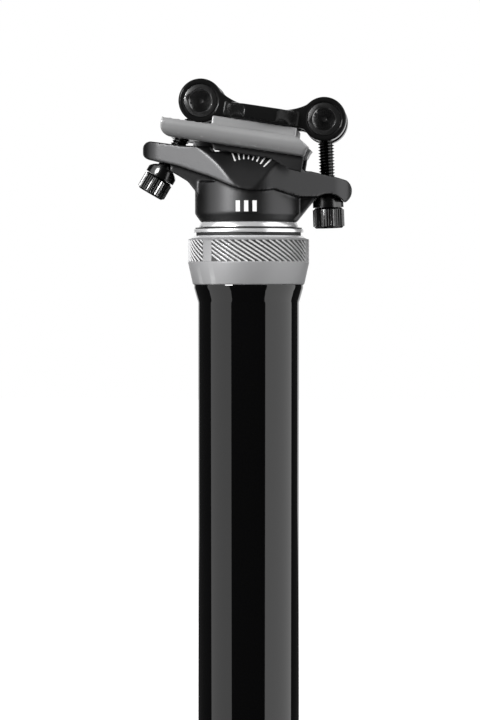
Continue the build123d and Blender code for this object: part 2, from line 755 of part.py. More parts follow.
# ---------------------------------------------------------------- lower cradle
# Two grooved rail channels joined by a bridge, whose hollow rides on the head's rocker.
with BuildPart() as lower_cradle:
    for side in (1, -1):
        with BuildSketch(rail_section(cradle_rear)):
            with BuildLine():
                ThreePointArc((side * (wall_outer - 3.7), wall_bottom),
                              (side * (wall_outer - 1.0), wall_bottom + 1.6),
                              (side * wall_outer, wall_bottom + 4.2))
                Polyline((side * wall_outer, wall_bottom + 4.2), (side * (wall_outer - 0.4), wall_top),
                         (side * cheek_inner, wall_top), (side * cheek_inner, wall_bottom),
                         (side * (wall_outer - 3.7), wall_bottom))
            make_face()
        extrude(amount=cradle_front - cradle_rear)
        with BuildSketch(rail_plane.offset(-side * cheek_outer)):
            with BuildLine():
                Polyline((bridge_rear, wall_bottom), (bridge_front, wall_bottom),
                         (bridge_front, bridge_top), (bridge_rear, bridge_top), close=True)
            make_face()
        extrude(amount=side * (cheek_outer - cheek_inner))
        with BuildSketch(rail_plane.offset(-side * cheek_outer)):
            with BuildLine():
                Polyline((skirt_rear, wall_bottom + 1), (skirt_rear + 1.5, skirt_bottom),
                         (7.0, skirt_bottom), (12.8, skirt_nose + 0.4), (skirt_front, skirt_nose),
                         (skirt_front, wall_bottom + 1), close=True)
            make_face()
        extrude(amount=side * (cheek_outer - skirt_inner))
    with BuildSketch(rail_plane):
        with BuildLine():
            Polyline((rear_eye_u + eye_radius + 0.4, bridge_bottom), (bridge_front, bridge_bottom),
                     (bridge_front, bridge_top), (rear_eye_u + eye_radius + 0.4, bridge_top),
                     close=True)
        make_face()
    extrude(amount=cheek_inner + 0.5, both=True)
    with BuildSketch(rail_plane):
        Circle(rocker_radius + slide_fit)
    extrude(amount=skirt_inner - 0.4, both=True, mode=Mode.SUBTRACT)
    with BuildSketch(rail_plane):
        with Locations((rear_eye_u, eye_v)):
            Circle(eye_radius + 0.4)
    extrude(amount=eye_outer + 0.2, both=True, mode=Mode.SUBTRACT)
    for side in (1, -1):
        with BuildSketch(rail_section(cradle_rear - 1)):
            with Locations((side * rail_spacing / 2, rail_v)):
                Circle(rail_radius)
        extrude(amount=cradle_front - cradle_rear + 2, mode=Mode.SUBTRACT)
    with BuildSketch(rail_plane):
        with BuildLine():
            Polyline((cradle_front_top, wall_top), (cradle_front_top, wall_top + 6),
                     (cradle_front + 1, wall_top + 6), (cradle_front + 1, wall_bottom - 6),
                     (skirt_front, wall_bottom - 6), (skirt_front, wall_bottom),
                     (cradle_front - 0.6, wall_bottom + 3.0), (cradle_front, wall_top - 2.8), close=True)
        make_face()
        with BuildLine():
            Polyline((cradle_rear, wall_bottom + 3), (cradle_rear - 1, wall_bottom + 3),
                     (cradle_rear - 1, wall_bottom - 1), (cradle_rear + 3, wall_bottom - 1),
                     (cradle_rear + 3, wall_bottom))
            ThreePointArc((cradle_rear + 3, wall_bottom), (cradle_rear + 0.9, wall_bottom + 0.9),
                          (cradle_rear, wall_bottom + 3))
        make_face()
    extrude(amount=wall_outer + 1, both=True, mode=Mode.SUBTRACT)
lower_cradle.part.label = "lower_cradle"
export_step(lower_cradle.part, "parts/lower_cradle.step")

# ---------------------------------------------------------------- upper clamps
# Forged links: an eye at each end for the barrel nuts, and a jaw between them over the rail.
for side, label in ((1, "upper_clamp_left"), (-1, "upper_clamp_right")):
    with BuildPart() as upper_clamp:
        jaw_rear, jaw_front = rear_eye_u + eye_radius + 0.3, front_eye_u - eye_radius - 0.3
        with BuildSketch(rail_section(jaw_rear)):
            with BuildLine():
                Polyline((side * (eye_outer - 1), clamp_bottom), (side * jaw_outer, clamp_bottom),
                         (side * jaw_outer, clamp_top - 2.6),
                         (side * (jaw_outer - 1.2), clamp_top - 1.4),
                         (side * (eye_outer - 1), clamp_top - 1.2), close=True)
            make_face()
        extrude(amount=jaw_front - jaw_rear)
        with BuildSketch(jaw_plane):
            with BuildLine():
                Polyline((jaw_rear, side * (eye_outer - 1)), (jaw_rear + jaw_flare, side * jaw_outer),
                         (jaw_front - jaw_flare, side * jaw_outer), (jaw_front, side * (eye_outer - 1)),
                         close=True)
            make_face()
        extrude(amount=eye_v, mode=Mode.INTERSECT)
        with BuildSketch(rail_plane.offset(-side * eye_inner)):
            with BuildLine():
                Polyline((rear_eye_u, clamp_bottom), (front_eye_u, clamp_bottom),
                         (front_eye_u, eye_v + eye_radius - 0.4), (front_eye_u - 3.4, eye_v + 5.6))
                ThreePointArc((front_eye_u - 3.4, eye_v + 5.6), (front_eye_u - 8.5, clamp_top),
                              ((rear_eye_u + front_eye_u) / 2, clamp_top - 1.2))
                ThreePointArc(((rear_eye_u + front_eye_u) / 2, clamp_top - 1.2),
                              (rear_eye_u + 8.5, clamp_top), (rear_eye_u + 3.4, eye_v + 5.6))
                Polyline((rear_eye_u + 3.4, eye_v + 5.6), (rear_eye_u, eye_v + eye_radius - 0.4),
                         (rear_eye_u, clamp_bottom))
            make_face()
            with Locations((rear_eye_u, eye_v), (front_eye_u, eye_v)):
                Circle(eye_radius)
        extrude(amount=-side * (eye_outer - eye_inner))
        with BuildSketch(rail_section(jaw_rear - 1)):
            with Locations((side * rail_spacing / 2, rail_v)):
                Circle(rail_radius)
        extrude(amount=jaw_front - jaw_rear + 2, mode=Mode.SUBTRACT)
        with BuildSketch(rail_plane):
            with Locations((rear_eye_u, eye_v), (front_eye_u, eye_v)):
                Circle(barrel_radius + slide_fit)
        extrude(amount=wall_outer, both=True, mode=Mode.SUBTRACT)
    upper_clamp.part.label = label
    export_step(upper_clamp.part, f"parts/{label}.step")

# ---------------------------------------------------------------- barrel nuts
# Each turns in the clamps' eyes, and its cross hole takes the bolt's thread.
for eye_u, here, label in ((rear_eye_u, rear_bolt_plane, "rear_barrel_nut"),
                           (front_eye_u, front_bolt_plane, "front_barrel_nut")):
    with BuildPart() as barrel_nut:
        with BuildSketch(rail_plane):
            with Locations((eye_u, eye_v)):
                Circle(barrel_radius)
        extrude(amount=barrel_half_length, both=True)
        for side in (1, -1):
            with BuildSketch(rail_plane.offset(side * barrel_half_length)):
                with Locations((eye_u, eye_v)):
                    Circle(barrel_cone_radius)
            extrude(amount=-side * barrel_cone_depth, taper=40, mode=Mode.SUBTRACT)
        with BuildSketch(here):
            Circle(bolt_radius + thread_clearance)
        extrude(amount=50, mode=Mode.SUBTRACT)
    barrel_nut.part.label = label
    export_step(barrel_nut.part, f"parts/{label}.step")

# ---------------------------------------------------------------- rounded washers
# Round discs under the arms, domed over one axis so that they rock in their seats.
for here, label in ((rear_bolt_plane, "rear_washer"), (front_bolt_plane, "front_washer")):
    with BuildPart() as washer:
        with BuildSketch(here.offset(seat_radius - washer_height)):
            Circle(washer_radius)
            Circle(bolt_radius + 0.15, mode=Mode.SUBTRACT)
        extrude(amount=washer_height + 1)
        with BuildSketch(Plane.XZ):
            with Locations((here.origin.X, here.origin.Z)):
                Circle(seat_radius)
        extrude(amount=washer_radius + 1, both=True, mode=Mode.INTERSECT)
    washer.part.label = label
    export_step(washer.part, f"parts/{label}.step")

# ---------------------------------------------------------------- bolts
# Socket cap bolts, screwed up through the washers and arms into the barrel nuts.
for here, swivel_length, head_radius, head_height, label in (
        (rear_bolt_plane, rear_swivel, rear_head_radius, rear_head_height, "rear_bolt"),
        (front_bolt_plane, front_swivel, front_head_radius, front_head_height, "front_bolt")):
    with BuildPart() as bolt:
        shoulder = seat_radius - washer_height - 0.1
        with BuildSketch(here.offset(shoulder - head_height)):
            Circle(head_radius)
        extrude(amount=head_height)
        chamfer(bolt.edges().filter_by(GeomType.CIRCLE), bolt_head_chamfer)
        with BuildSketch(here.offset(shoulder)):
            Circle(bolt_radius)
        extrude(amount=swivel_length + bolt_reach - shoulder)
        bolt_axis = Axis(here.origin, here.z_dir)
        chamfer(bolt.edges().filter_by(GeomType.CIRCLE).sort_by(bolt_axis)[-1], bolt_head_chamfer)
        with BuildSketch(here.offset(shoulder - head_height)):
            RegularPolygon(hex_key_radius, 6)
        extrude(amount=head_height * 0.55, mode=Mode.SUBTRACT)
    bolt.part.label = label
    export_step(bolt.part, f"parts/{label}.step")
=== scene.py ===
"""Height-adjustable bicycle seatpost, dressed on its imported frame."""
import json
from math import cos, degrees, pi, radians, sin, tan

import bpy
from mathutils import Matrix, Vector


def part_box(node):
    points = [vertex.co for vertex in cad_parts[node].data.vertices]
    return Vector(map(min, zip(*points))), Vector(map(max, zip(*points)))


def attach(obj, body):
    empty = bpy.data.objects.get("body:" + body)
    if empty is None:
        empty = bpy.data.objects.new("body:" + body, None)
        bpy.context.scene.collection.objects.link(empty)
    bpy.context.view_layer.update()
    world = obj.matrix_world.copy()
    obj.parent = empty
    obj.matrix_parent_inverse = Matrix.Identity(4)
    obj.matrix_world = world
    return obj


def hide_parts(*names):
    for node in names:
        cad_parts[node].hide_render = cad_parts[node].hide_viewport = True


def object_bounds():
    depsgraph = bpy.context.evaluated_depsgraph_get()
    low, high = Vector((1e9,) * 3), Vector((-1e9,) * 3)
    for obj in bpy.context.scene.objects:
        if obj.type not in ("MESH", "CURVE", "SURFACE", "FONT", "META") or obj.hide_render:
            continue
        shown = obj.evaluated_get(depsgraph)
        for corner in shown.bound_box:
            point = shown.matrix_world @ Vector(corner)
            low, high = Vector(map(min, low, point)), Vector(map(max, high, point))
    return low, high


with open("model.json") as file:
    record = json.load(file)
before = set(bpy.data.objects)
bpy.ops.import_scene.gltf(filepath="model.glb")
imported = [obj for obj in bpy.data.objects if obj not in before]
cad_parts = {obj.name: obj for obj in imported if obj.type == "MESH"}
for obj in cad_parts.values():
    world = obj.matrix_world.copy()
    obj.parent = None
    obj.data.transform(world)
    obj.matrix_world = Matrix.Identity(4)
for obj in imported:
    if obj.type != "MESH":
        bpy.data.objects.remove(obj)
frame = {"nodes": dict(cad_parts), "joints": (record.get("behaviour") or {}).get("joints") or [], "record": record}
cad_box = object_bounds()
mm = 0.001
joint = {j["name"]: j for j in frame["joints"]}
bpy.ops.object.select_all(action="DESELECT")

# ---------------------------------------------------------------- studio
# Pale floor, soft boxes to both sides and behind, and a small bright key to the left. The floor
# lets glossy rays through and the room is dark to them, so the tube shows the two side boxes only.
floor_drop = 0.004
diffuse_room = 0.5
glossy_room = 0.04
bpy.ops.mesh.primitive_plane_add(size=14, location=(0, 0, cad_box[0][2] - floor_drop))
floor = bpy.context.object
floor.name = "studio_floor"
paper = bpy.data.materials.new("studio_paper")
paper.use_nodes = True
nodes, links = paper.node_tree.nodes, paper.node_tree.links
nodes.clear()
out = nodes.new("ShaderNodeOutputMaterial")
add = nodes.new("ShaderNodeAddShader")
matt = nodes.new("ShaderNodeBsdfDiffuse")
lift = nodes.new("ShaderNodeEmission")
path = nodes.new("ShaderNodeLightPath")
shade = nodes.new("ShaderNodeMix")
shade.data_type = "RGBA"
shade.inputs["A"].default_value = (0.82, 0.82, 0.82, 1)
shade.inputs["B"].default_value = (0.1, 0.1, 0.1, 1)
links.new(path.outputs["Is Diffuse Ray"], shade.inputs["Factor"])
links.new(shade.outputs["Result"], matt.inputs["Color"])
clear = nodes.new("ShaderNodeBsdfTransparent")
choose = nodes.new("ShaderNodeMixShader")
place = nodes.new("ShaderNodeTexCoord")
reach = nodes.new("ShaderNodeVectorMath")
reach.operation = "LENGTH"
fade = nodes.new("ShaderNodeMapRange")
fade.inputs["From Min"].default_value = 0.1
fade.inputs["From Max"].default_value = 0.7
fade.inputs["To Min"].default_value = 0.6
fade.inputs["To Max"].default_value = 1.0
scale = nodes.new("ShaderNodeMath")
scale.operation = "MULTIPLY"
links.new(place.outputs["Object"], reach.inputs[0])
links.new(reach.outputs["Value"], fade.inputs["Value"])
links.new(path.outputs["Is Camera Ray"], scale.inputs[0])
links.new(fade.outputs["Result"], scale.inputs[1])
links.new(scale.outputs[0], lift.inputs["Strength"])
links.new(matt.outputs[0], add.inputs[0])
links.new(lift.outputs[0], add.inputs[1])
links.new(path.outputs["Is Glossy Ray"], choose.inputs[0])
links.new(add.outputs[0], choose.inputs[1])
links.new(clear.outputs[0], choose.inputs[2])
links.new(choose.outputs[0], out.inputs["Surface"])
floor.data.materials.append(paper)

world = bpy.data.worlds.new("studio_world")
bpy.context.scene.world = world
world.use_nodes = True
nodes, links = world.node_tree.nodes, world.node_tree.links
nodes.clear()
out = nodes.new("ShaderNodeOutputWorld")
mix = nodes.new("ShaderNodeMixShader")
seen = nodes.new("ShaderNodeBackground")
seen.inputs["Color"].default_value = (1, 1, 1, 1)
seen.inputs["Strength"].default_value = 1.0
room = nodes.new("ShaderNodeBackground")
room.inputs["Color"].default_value = (1, 1, 1, 1)
path = nodes.new("ShaderNodeLightPath")
dim = nodes.new("ShaderNodeMath")
dim.operation = "MULTIPLY_ADD"
dim.inputs[1].default_value = glossy_room - diffuse_room
dim.inputs[2].default_value = diffuse_room
links.new(path.outputs["Is Glossy Ray"], dim.inputs[0])
links.new(dim.outputs[0], room.inputs["Strength"])
links.new(path.outputs["Is Camera Ray"], mix.inputs[0])
links.new(room.outputs[0], mix.inputs[1])
links.new(seen.outputs[0], mix.inputs[2])
links.new(mix.outputs[0], out.inputs["Surface"])


def soft_box(name, azimuth, height, distance, width, tall, radiance):
    """Area light that faces the head; azimuth 0 is the camera's side, positive to its right."""
    spot = Vector((sin(radians(azimuth)) * distance, -cos(radians(azimuth)) * distance, height))
    bpy.ops.object.light_add(type="AREA", location=spot)
    lamp = bpy.context.object
    lamp.name = name
    lamp.data.shape = "RECTANGLE"
    lamp.data.size = width
    lamp.data.size_y = tall
    lamp.data.energy = radiance * pi * width * tall
    lamp.rotation_euler = (Vector((0, 0, height * 0.2)) - spot).to_track_quat("-Z", "Y").to_euler()


soft_box("left_box", -66, 0.0, 1.1, 1.17, 2.6, 1.3)
soft_box("right_box", 80, 0.0, 1.1, 1.75, 2.6, 1.75)
soft_box("key_box", -40, 0.30, 1.0, 0.3, 0.26, 42.0)
soft_box("back_box", 180, 0.30, 1.5, 1.6, 1.2, 0.8)

# The post is seen square on, a little from its front, with the camera level with the collar.
view_azimuth = 2.7
view_distance = 1.2
view_height = 0.0058
view_side = -0.0027
camera_data = bpy.data.cameras.new("studio_camera")
camera = bpy.data.objects.new("studio_camera", camera_data)
bpy.context.scene.collection.objects.link(camera)
turn = radians(view_azimuth)
camera.location = (sin(turn) * view_distance + cos(turn) * view_side,
                   -cos(turn) * view_distance + sin(turn) * view_side, view_height)
camera.rotation_euler = (pi / 2, 0, turn)
camera_data.sensor_width = 36
camera_data.lens = 191.4
camera_data.shift_y = -0.104
camera_data.clip_end = 30
bpy.context.scene.camera = camera
bpy.context.scene.view_settings.view_transform = "Standard"

# ---------------------------------------------------------------- outer tube
# Aluminium tube, gloss black anodised, flared at the top where the collar screws on. It is turned
# from one outline: a ring is extruded from point to point and closed on itself.


def edit(obj):
    """Only this object selected, active and in edit mode."""
    bpy.ops.object.select_all(action="DESELECT")
    obj.select_set(True)
    bpy.context.view_layer.objects.active = obj
    bpy.ops.object.mode_set(mode="EDIT")


def modify(obj, kind, **settings):
    """Adds a modifier with these settings and applies it."""
    bpy.ops.object.select_all(action="DESELECT")
    obj.select_set(True)
    bpy.context.view_layer.objects.active = obj
    bpy.ops.object.modifier_add(type=kind)
    modifier = obj.modifiers[-1]
    for key, value in settings.items():
        setattr(modifier, key, value)
    bpy.ops.object.modifier_apply(modifier=modifier.name)


def soften(obj, width, segments=2, angle=30):
    """Rounds the edges that turn by more than the angle, and shades the rest smooth."""
    modify(obj, "BEVEL", width=width, segments=segments, limit_method="ANGLE",
           angle_limit=radians(angle), use_clamp_overlap=True)
    bpy.ops.object.shade_smooth_by_angle(angle=radians(40))


def turned(name, outline, edge, segments=160):
    """Ring turned about the post's axis from a closed outline of (radius, height) in millimetres."""
    radius, height = outline[0]
    bpy.ops.object.select_all(action="DESELECT")
    bpy.ops.mesh.primitive_circle_add(vertices=segments, radius=radius * mm,
                                      location=(0, 0, height * mm))
    piece = bpy.context.object
    piece.name = name
    bpy.ops.object.transform_apply(location=True, rotation=True, scale=True)
    edit(piece)
    bpy.ops.mesh.select_all(action="SELECT")
    for next_radius, next_height in outline[1:] + outline[:1]:
        rise = (0, 0, (next_height - height) * mm)
        bpy.ops.mesh.extrude_region_move(TRANSFORM_OT_translate={"value": rise})
        grow = next_radius / radius
        bpy.ops.transform.resize(value=(grow, grow, 1), center_override=(0, 0, next_height * mm))
        radius, height = next_radius, next_height
    bpy.ops.mesh.select_all(action="SELECT")
    bpy.ops.mesh.remove_doubles(threshold=1e-6)
    bpy.ops.mesh.normals_make_consistent(inside=False)
    bpy.ops.object.mode_set(mode="OBJECT")
    soften(piece, edge * mm)
    return piece


def recolour(obj, material, chosen):
    """Gives the faces for which chosen(centre) is true a second material."""
    obj.data.materials.append(material)
    edit(obj)
    bpy.ops.mesh.select_all(action="DESELECT")
    bpy.ops.object.mode_set(mode="OBJECT")
    for face in obj.data.polygons:
        face.select = chosen(face.center)
    bpy.ops.object.mode_set(mode="EDIT")
    obj.active_material_index = 1
    bpy.ops.object.material_slot_assign()
    bpy.ops.object.mode_set(mode="OBJECT")


def join(pieces):
    """Joins the pieces into the first, and returns it."""
    bpy.ops.object.select_all(action="DESELECT")
    for piece in pieces:
        piece.select_set(True)
    bpy.context.view_layer.objects.active = pieces[0]
    bpy.ops.object.join()
    return bpy.context.object


def group(name, inputs, outputs):
    """Empty shader node group with float inputs given as name: default, and float outputs."""
    tree = bpy.data.node_groups.new(name, "ShaderNodeTree")
    for label, value in inputs.items():
        socket = tree.interface.new_socket(label, in_out="INPUT", socket_type="NodeSocketFloat")
        socket.default_value = value
    for label in outputs:
        tree.interface.new_socket(label, in_out="OUTPUT", socket_type="NodeSocketFloat")
    return tree, tree.nodes.new("NodeGroupInput"), tree.nodes.new("NodeGroupOutput")


def clouds_group():
    """Soft uneven patches and fine grain, both read in object space."""
    tree, given, result = group("uneven_surface", {"Patch Scale": 40, "Grain Scale": 2500},
                                ["Patches", "Grain"])
    place = tree.nodes.new("ShaderNodeTexCoord")
    for label, output, detail in (("Patch Scale", "Patches", 3), ("Grain Scale", "Grain", 2)):
        noise = tree.nodes.new("ShaderNodeTexNoise")
        noise.inputs["Detail"].default_value = detail
        tree.links.new(place.outputs["Object"], noise.inputs["Vector"])
        tree.links.new(given.outputs[label], noise.inputs["Scale"])
        tree.links.new(noise.outputs["Fac"], result.inputs[output])
    return tree


def wear_group():
    """Mask of the outer edges where a finish rubs thin, broken up by noise."""
    tree, given, result = group("edge_wear", {"Start": 0.52, "End": 0.6, "Scale": 300}, ["Mask"])
    geometry = tree.nodes.new("ShaderNodeNewGeometry")
    ramp = tree.nodes.new("ShaderNodeMapRange")
    place = tree.nodes.new("ShaderNodeTexCoord")
    noise = tree.nodes.new("ShaderNodeTexNoise")
    product = tree.nodes.new("ShaderNodeMath")
    product.operation = "MULTIPLY"
    tree.links.new(geometry.outputs["Pointiness"], ramp.inputs["Value"])
    tree.links.new(given.outputs["Start"], ramp.inputs["From Min"])
    tree.links.new(given.outputs["End"], ramp.inputs["From Max"])
    tree.links.new(place.outputs["Object"], noise.inputs["Vector"])
    tree.links.new(given.outputs["Scale"], noise.inputs["Scale"])
    tree.links.new(ramp.outputs["Result"], product.inputs[0])
    tree.links.new(noise.outputs["Fac"], product.inputs[1])
    tree.links.new(product.outputs[0], result.inputs["Mask"])
    return tree


def lathe_group():
    """Fine lines left by a lathe: noise that changes along Z and hardly round the axis."""
    tree, given, result = group("turning_lines", {"Scale": 3000}, ["Lines"])
    place = tree.nodes.new("ShaderNodeTexCoord")
    squeeze = tree.nodes.new("ShaderNodeMapping")
    squeeze.inputs["Scale"].default_value = (0.01, 0.01, 1)
    noise = tree.nodes.new("ShaderNodeTexNoise")
    noise.inputs["Detail"].default_value = 2
    tree.links.new(place.outputs["Object"], squeeze.inputs["Vector"])
    tree.links.new(squeeze.outputs["Vector"], noise.inputs["Vector"])
    tree.links.new(given.outputs["Scale"], noise.inputs["Scale"])
    tree.links.new(noise.outputs["Fac"], result.inputs["Lines"])
    return tree


uneven_surface, edge_wear, turning_lines = clouds_group(), wear_group(), lathe_group()


def finish(name, colour, worn, roughness, metallic, patch=40, grain=2500, bump=0.0, wear=0.0,
           lines=0.0, spread=0.25, rough_spread=0.08, coat=0.0, ior=1.5, wear_from=0.52):
    """Material with uneven colour and gloss, worn edges, and grain or lathe lines as bump."""
    material = bpy.data.materials.new(name)
    material.use_nodes = True
    nodes, links = material.node_tree.nodes, material.node_tree.links
    surface = nodes["Principled BSDF"]
    surface.inputs["Metallic"].default_value = metallic
    surface.inputs["IOR"].default_value = ior
    surface.inputs["Coat Weight"].default_value = coat
    surface.inputs["Coat Roughness"].default_value = 0.05
    uneven = nodes.new("ShaderNodeGroup")
    uneven.node_tree = uneven_surface
    uneven.inputs["Patch Scale"].default_value = patch
    uneven.inputs["Grain Scale"].default_value = grain
    tint = nodes.new("ShaderNodeMix")
    tint.data_type = "RGBA"
    tint.inputs["A"].default_value = (*[c * (1 - spread) for c in colour], 1)
    tint.inputs["B"].default_value = (*[c * (1 + spread) for c in colour], 1)
    links.new(uneven.outputs["Patches"], tint.inputs["Factor"])
    edge = nodes.new("ShaderNodeGroup")
    edge.node_tree = edge_wear
    edge.inputs["Start"].default_value = wear_from
    edge.inputs["End"].default_value = wear_from + 0.08
    amount = nodes.new("ShaderNodeMath")
    amount.operation = "MULTIPLY"
    amount.inputs[1].default_value = wear
    links.new(edge.outputs["Mask"], amount.inputs[0])
    rubbed = nodes.new("ShaderNodeMix")
    rubbed.data_type = "RGBA"
    rubbed.inputs["B"].default_value = (*worn, 1)
    links.new(amount.outputs[0], rubbed.inputs["Factor"])
    links.new(tint.outputs["Result"], rubbed.inputs["A"])
    links.new(rubbed.outputs["Result"], surface.inputs["Base Color"])
    gloss = nodes.new("ShaderNodeMapRange")
    gloss.inputs["To Min"].default_value = max(roughness - rough_spread, 0.02)
    gloss.inputs["To Max"].default_value = roughness + rough_spread
    links.new(uneven.outputs["Patches"], gloss.inputs["Value"])
    links.new(gloss.outputs["Result"], surface.inputs["Roughness"])
    relief = nodes.new("ShaderNodeBump")
    relief.inputs["Distance"].default_value = 0.00002
    relief.inputs["Strength"].default_value = max(bump, lines)
    source = uneven.outputs["Grain"]
    if lines:
        lathe = nodes.new("ShaderNodeGroup")
        lathe.node_tree = turning_lines
        source = lathe.outputs["Lines"]
    links.new(source, relief.inputs["Height"])
    links.new(relief.outputs["Normal"], surface.inputs["Normal"])
    return material


def dress(piece, material, body, slot, *replaced):
    """Gives a finished piece its material and body, and hides the CAD nodes it stands for. The slot is not used.
    """
    piece.data.materials.clear()
    piece.data.materials.append(material)
    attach(piece, body)
    if replaced:
        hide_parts(*replaced)


gloss_black = finish("gloss_black_anodised", (0.0012, 0.0012, 0.0013), (0.02, 0.02, 0.02), 0.035, 0.0,
                     patch=18, grain=900, bump=0.01, rough_spread=0.01)
tube_low, tube_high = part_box("outer_tube")
shank, flare, bore = 15.8, tube_high.x / mm, 14.2
tube = turned("outer_tube_shell", [
    (bore, tube_low.z / mm), (shank, tube_low.z / mm), (shank, 0.3), (shank + 0.12, 0.8),
    (shank + 0.4, 1.7), (shank + 0.75, 2.9), (shank + 1.05, 4.0), (flare, 4.9), (flare, 6.2),
    (flare - 0.8, 6.2), (flare - 0.8, 18.4), (shank - 1, 18.4), (shank - 1, -14), (bore, -14)],
    0.12, segments=256)
dress(tube, gloss_black, "lower_post", "gloss_black_tube", "outer_tube")

# ---------------------------------------------------------------- seal collar
# Grey anodised collar, gripped by hand or strap wrench by its band of slanted ribs, which stand in
# three panels. Each rib is one small bar swept along a helix; the top chamfer is machined bright.
grey_collar = finish("grey_anodised_collar", (0.3, 0.3, 0.305), (0.8, 0.8, 0.8), 0.5, 0.25,
                     patch=60, grain=1800, bump=0.08, wear=0.4, spread=0.12)
# The ribs are the collar's grey anodising, coloured much lighter as a painted highlight where their tops catch the
# light.
rib_highlight_paint = finish("grey_anodised_ribs_painted_highlight", (0.8, 0.8, 0.81), (0.95, 0.95, 0.95), 0.3, 0.3, patch=60,
                  grain=1800, bump=0.08, wear=0.3, spread=0.1)
# The sunk band between the ribs is coloured near black as painted shade, where the ribs shade it.
groove_shade_paint = finish("groove_painted_shade", (0.03, 0.03, 0.03), (0.1, 0.1, 0.1), 0.6, 0.0, patch=200,
                      bump=0.1)
bright = finish("polished_alloy", (0.88, 0.88, 0.89), (0.95, 0.95, 0.95), 0.22, 0.6, patch=50,
                lines=0.12, spread=0.05, rough_spread=0.04)
collar_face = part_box("seal_collar")[1].x / mm
rib_depth = 0.32
collar = turned("seal_collar_body", [
    (16.4, 5.95), (17.2, 5.95), (17.5, 6.25), (collar_face, 12.75), (collar_face, 13.0),
    (collar_face - rib_depth, 13.25), (collar_face - rib_depth, 19.75), (collar_face, 20.0),
    (collar_face - 0.1, 20.15), (collar_face - 0.9, 20.35), (collar_face - 1.2, 20.5),
    (14.5, 20.5), (14.5, 19.3), (16.4, 19.3)], 0.06, segments=192)

rib_low, rib_high = 13.15, 19.85
rib_slope = radians(32)
rib_count = 54
panel_count = 3
panel_first = -41.0
panel_gap = 12.0
panel_turn = 360 / panel_count


def rib(start, sweep, top):
    """One slanted rib: a small bar at the start angle, swept round and down by a screw."""
    bpy.ops.object.select_all(action="DESELECT")
    bpy.ops.mesh.primitive_circle_add(vertices=4, radius=0.42 * mm, fill_type="NOTHING",
                                      rotation=(pi / 2, 0, 0),
                                      location=((collar_face - 0.42) * mm, 0, top * mm))
    bar = bpy.context.object
    bpy.ops.object.transform_apply(location=True, rotation=True, scale=True)
    fall = radians(sweep) * collar_face * tan(rib_slope) * mm
    modify(bar, "SCREW", axis="Z", angle=radians(sweep), screw_offset=-fall,
           steps=max(3, round(abs(sweep) / 3)), render_steps=max(3, round(abs(sweep) / 3)),
           use_merge_vertices=False, use_smooth_shade=False)
    edit(bar)
    bpy.ops.mesh.select_all(action="SELECT")
    bpy.ops.mesh.fill_holes(sides=0)
    bpy.ops.mesh.normals_make_consistent(inside=False)
    bpy.ops.object.mode_set(mode="OBJECT")
    bar.rotation_euler = (0, 0, radians(start))
    bpy.ops.object.transform_apply(location=True, rotation=True, scale=True)
    return bar


ribs = []
rib_pitch = 360 / rib_count
full_sweep = degrees((rib_high - rib_low) / tan(rib_slope) / collar_face)
for panel in range(panel_count):
    begin = panel_first + panel * panel_turn + panel_gap / 2
    end = begin + panel_turn - panel_gap
    count = int((end - begin + full_sweep) / rib_pitch)
    for step in range(count):
        first = begin - full_sweep + (step + 0.5) * rib_pitch
        start, stop = max(first, begin), min(first + full_sweep, end)
        if stop - start < rib_pitch * 0.5:
            continue
        top = rib_high - (start - first) / full_sweep * (rib_high - rib_low)
        ribs.append(rib(start - 90, stop - start, top))
rib_band = join(ribs)
rib_band.name = "collar_ribs"
# Painted highlight: the ribs take the lighter copy of the collar's grey.
dress(rib_band, rib_highlight_paint, "lower_post", "grey_collar")
dress(collar, grey_collar, "lower_post", "grey_collar", "seal_collar")


def in_groove(centre):
    """Whether a point lies on the sunk band and outside the plain gaps between the panels."""
    azimuth = -degrees(Vector((0, -1)).angle_signed(centre.xy))
    past_gap = (azimuth - panel_first + panel_turn / 2) % panel_turn - panel_turn / 2
    reach = centre.xy.length / mm
    return (17 < reach < collar_face - rib_depth + 0.03 and abs(past_gap) > panel_gap / 2
            and 13.2 * mm < centre.z < 19.8 * mm)


# Painted shade: the faces of the sunk band between the ribs take the near-black material.
recolour(collar, groove_shade_paint, in_groove)
rim = turned("collar_rim", [(14.5, 20.5), (collar_face - 1.15, 20.5), (16.9, 21.25), (16.5, 21.3),
                            (14.5, 21.3)], 0.05, segments=192)
dress(rim, bright, "lower_post", "polished_ring")

# ---------------------------------------------------------------- seals and rings under the head
# Black rubber wiper flange, polished ring, thin rubber pad, and the ring that the head carries.
rubber = finish("black_rubber", (0.012, 0.012, 0.012), (0.03, 0.03, 0.03), 0.6, 0.0, patch=90,
                grain=3000, bump=0.25)
flange = turned("wiper_flange", [(13.58, 16.1), (14.35, 16.1), (14.35, 21.35), (16.4, 21.35),
                                 (16.4, 22.2), (13.58, 22.2)], 0.08, segments=192)
dress(flange, rubber, "lower_post", "black_rubber", "wiper_seal")
polished = turned("wiper_band", [(13.95, 22.25), (17.2, 22.25), (17.2, 23.38), (13.95, 23.38)],
                  0.18, segments=192)
dress(polished, bright, "lower_post", "polished_ring", "wiper_ring")
pad = turned("rest_pad_ring", [(13.85, 23.42), (16.7, 23.42), (16.7, 23.78), (13.85, 23.78)], 0.08,
             segments=192)
dress(pad, rubber, "lower_post", "black_rubber", "rest_pad")
cone = turned("head_ring_cone", [(13.55, 24.0), (15.6, 24.0), (15.05, 25.48), (13.55, 25.48)],
              0.06, segments=192)
dress(cone, bright, "upper_post", "polished_ring", "head_ring")

